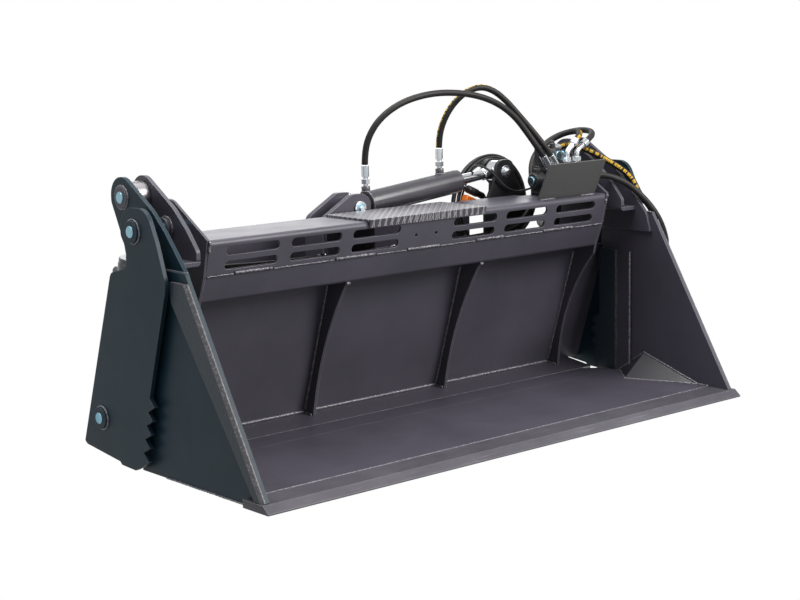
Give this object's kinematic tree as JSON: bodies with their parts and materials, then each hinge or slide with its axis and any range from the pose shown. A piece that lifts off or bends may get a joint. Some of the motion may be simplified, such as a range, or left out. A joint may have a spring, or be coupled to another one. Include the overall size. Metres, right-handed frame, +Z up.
{
  "type": "skid steer bucket",
  "caption": "Clamshell loader bucket: a hinged front jaw swung by side cylinders on a toothed rear frame, with a tilting quick-attach plate, valve and hydraulic hoses.",
  "frame": {"origin": "on the ground at the middle of the width, straight below the clam hinge axis, on the underside of the middle skid bar", "axes": "+X along the width to the side that carries the valve, +Y from the cutting edge to the rear, +Z up"},
  "size_m": [1.972, 0.926, 0.9937],
  "materials": {
    "paint": "charcoal powder coat, satin",
    "wear_steel": "painted wear steel",
    "zinc": "zinc plated",
    "black_paint": "black enamel",
    "chrome": "hard chrome",
    "guard_paint": "flat grey",
    "valve_black": "black oxide",
    "hose_rubber": "hydraulic hose cover",
    "cable_sheath": "cable sheath",
    "plug_plastic": "moulded plastic"
  },
  "bodies": {
    "frame": {"back_plate": "paint", "header_panel": "paint", "header_lower_bar": "paint", "ribs": "paint", "end_plate_left": "paint", "end_plate_right": "paint", "cheek_left": "paint", "cheek_right": "paint", "cheek_bosses": "paint", "cylinder_lugs": "paint", "pivot_housing": "paint", "back_stiffeners": "paint", "tilt_base_bracket": "paint", "grip_strip": "paint", "rear_blade": "wear_steel", "hinge_pins": "zinc", "base_pins": "zinc", "pivot_pin": "zinc", "valve_fittings": "zinc", "guard_plate": "guard_paint", "valve_block": "valve_black", "solenoids": "valve_black", "tilt_hose_base": "hose_rubber", "tilt_hose_rod": "hose_rubber", "feed_hose_plain": "hose_rubber", "feed_hose_marked": "hose_rubber", "clam_hose_left_a": "hose_rubber", "clam_hose_left_b": "hose_rubber", "clam_hose_right_a": "hose_rubber", "clam_hose_right_b": "hose_rubber", "cable_lead": "cable_sheath"},
    "clam": {"floor_plate": "paint", "floor_rear_bar": "paint", "cutting_edge": "wear_steel", "side_plate_left": "paint", "side_plate_right": "paint", "side_cutters": "paint", "bite_plates": "paint", "corner_gussets": "paint", "outer_arm_left": "paint", "outer_arm_right": "paint", "inner_arm_left": "paint", "inner_arm_right": "paint", "arm_bosses": "paint", "crank_pins": "zinc", "skid_bars": "paint", "coupler_bracket": "paint", "feed_couplers": "zinc"},
    "barrel_left": {"clam_barrel_left": "black_paint"},
    "barrel_right": {"clam_barrel_right": "black_paint"},
    "rod_left": {"clam_rod_left": "chrome"},
    "rod_right": {"clam_rod_right": "chrome"},
    "tilt_cylinder": {"tilt_barrel": "black_paint", "tilt_fittings": "zinc"},
    "tilt_piston": {"tilt_rod": "chrome"},
    "hitch": {"hitch_plate": "paint", "tilt_arm": "black_paint", "tilt_rod_pin": "zinc", "cable_coil": "cable_sheath", "cable_plug": "plug_plastic"}
  },
  "joints": [
    {"name": "clam_hinge", "type": "hinge", "parent": "frame", "child": "clam", "pos_m": [0, 0, 0.662], "axis": [-1, 0, 0], "range_deg": [0, 45], "deforming": ["feed_hose_plain", "feed_hose_marked"]},
    {"name": "barrel_left_swing", "type": "hinge", "parent": "frame", "child": "barrel_left", "pos_m": [-0.8635, 0.203, 0.126], "axis": [-1, 0, 0], "range_deg": [0, 1.8], "deforming": ["clam_hose_left_a", "clam_hose_left_b"]},
    {"name": "rod_left_slide", "type": "slide", "parent": "barrel_left", "child": "rod_left", "axis": [0, -0.1508, 0.9886], "range_m": [-0.1026, 0]},
    {"name": "barrel_right_swing", "type": "hinge", "parent": "frame", "child": "barrel_right", "pos_m": [0.8635, 0.203, 0.126], "axis": [-1, 0, 0], "range_deg": [0, 1.8], "deforming": ["clam_hose_right_a", "clam_hose_right_b"]},
    {"name": "rod_right_slide", "type": "slide", "parent": "barrel_right", "child": "rod_right", "axis": [0, -0.1508, 0.9886], "range_m": [-0.1026, 0]},
    {"name": "tilt_hinge", "type": "hinge", "parent": "frame", "child": "hitch", "pos_m": [0, 0.254, 0.32], "axis": [0, -1, 0], "range_deg": [-10, 10], "deforming": ["cable_lead"]},
    {"name": "tilt_barrel_swing", "type": "hinge", "parent": "frame", "child": "tilt_cylinder", "pos_m": [-0.082, 0.144, 0.642], "axis": [0, -1, 0], "range_deg": [-9.5, 9.5], "deforming": ["tilt_hose_base", "tilt_hose_rod"]},
    {"name": "tilt_rod_slide", "type": "slide", "parent": "tilt_cylinder", "child": "tilt_piston", "axis": [0.9943, 0, 0.1062], "range_m": [-0.058, 0.058]}
  ],
  "couplings": [
    {"joint": "barrel_left_swing", "follows": "clam_hinge", "ratio": 0.03839},
    {"joint": "barrel_right_swing", "follows": "clam_hinge", "ratio": 0.03839},
    {"joint": "rod_left_slide", "follows": "clam_hinge", "m_per_rad": -0.13016},
    {"joint": "rod_right_slide", "follows": "clam_hinge", "m_per_rad": -0.13016},
    {"joint": "tilt_barrel_swing", "follows": "tilt_hinge", "ratio": 0.92404},
    {"joint": "tilt_rod_slide", "follows": "tilt_hinge", "m_per_rad": -0.32791}
  ]
}
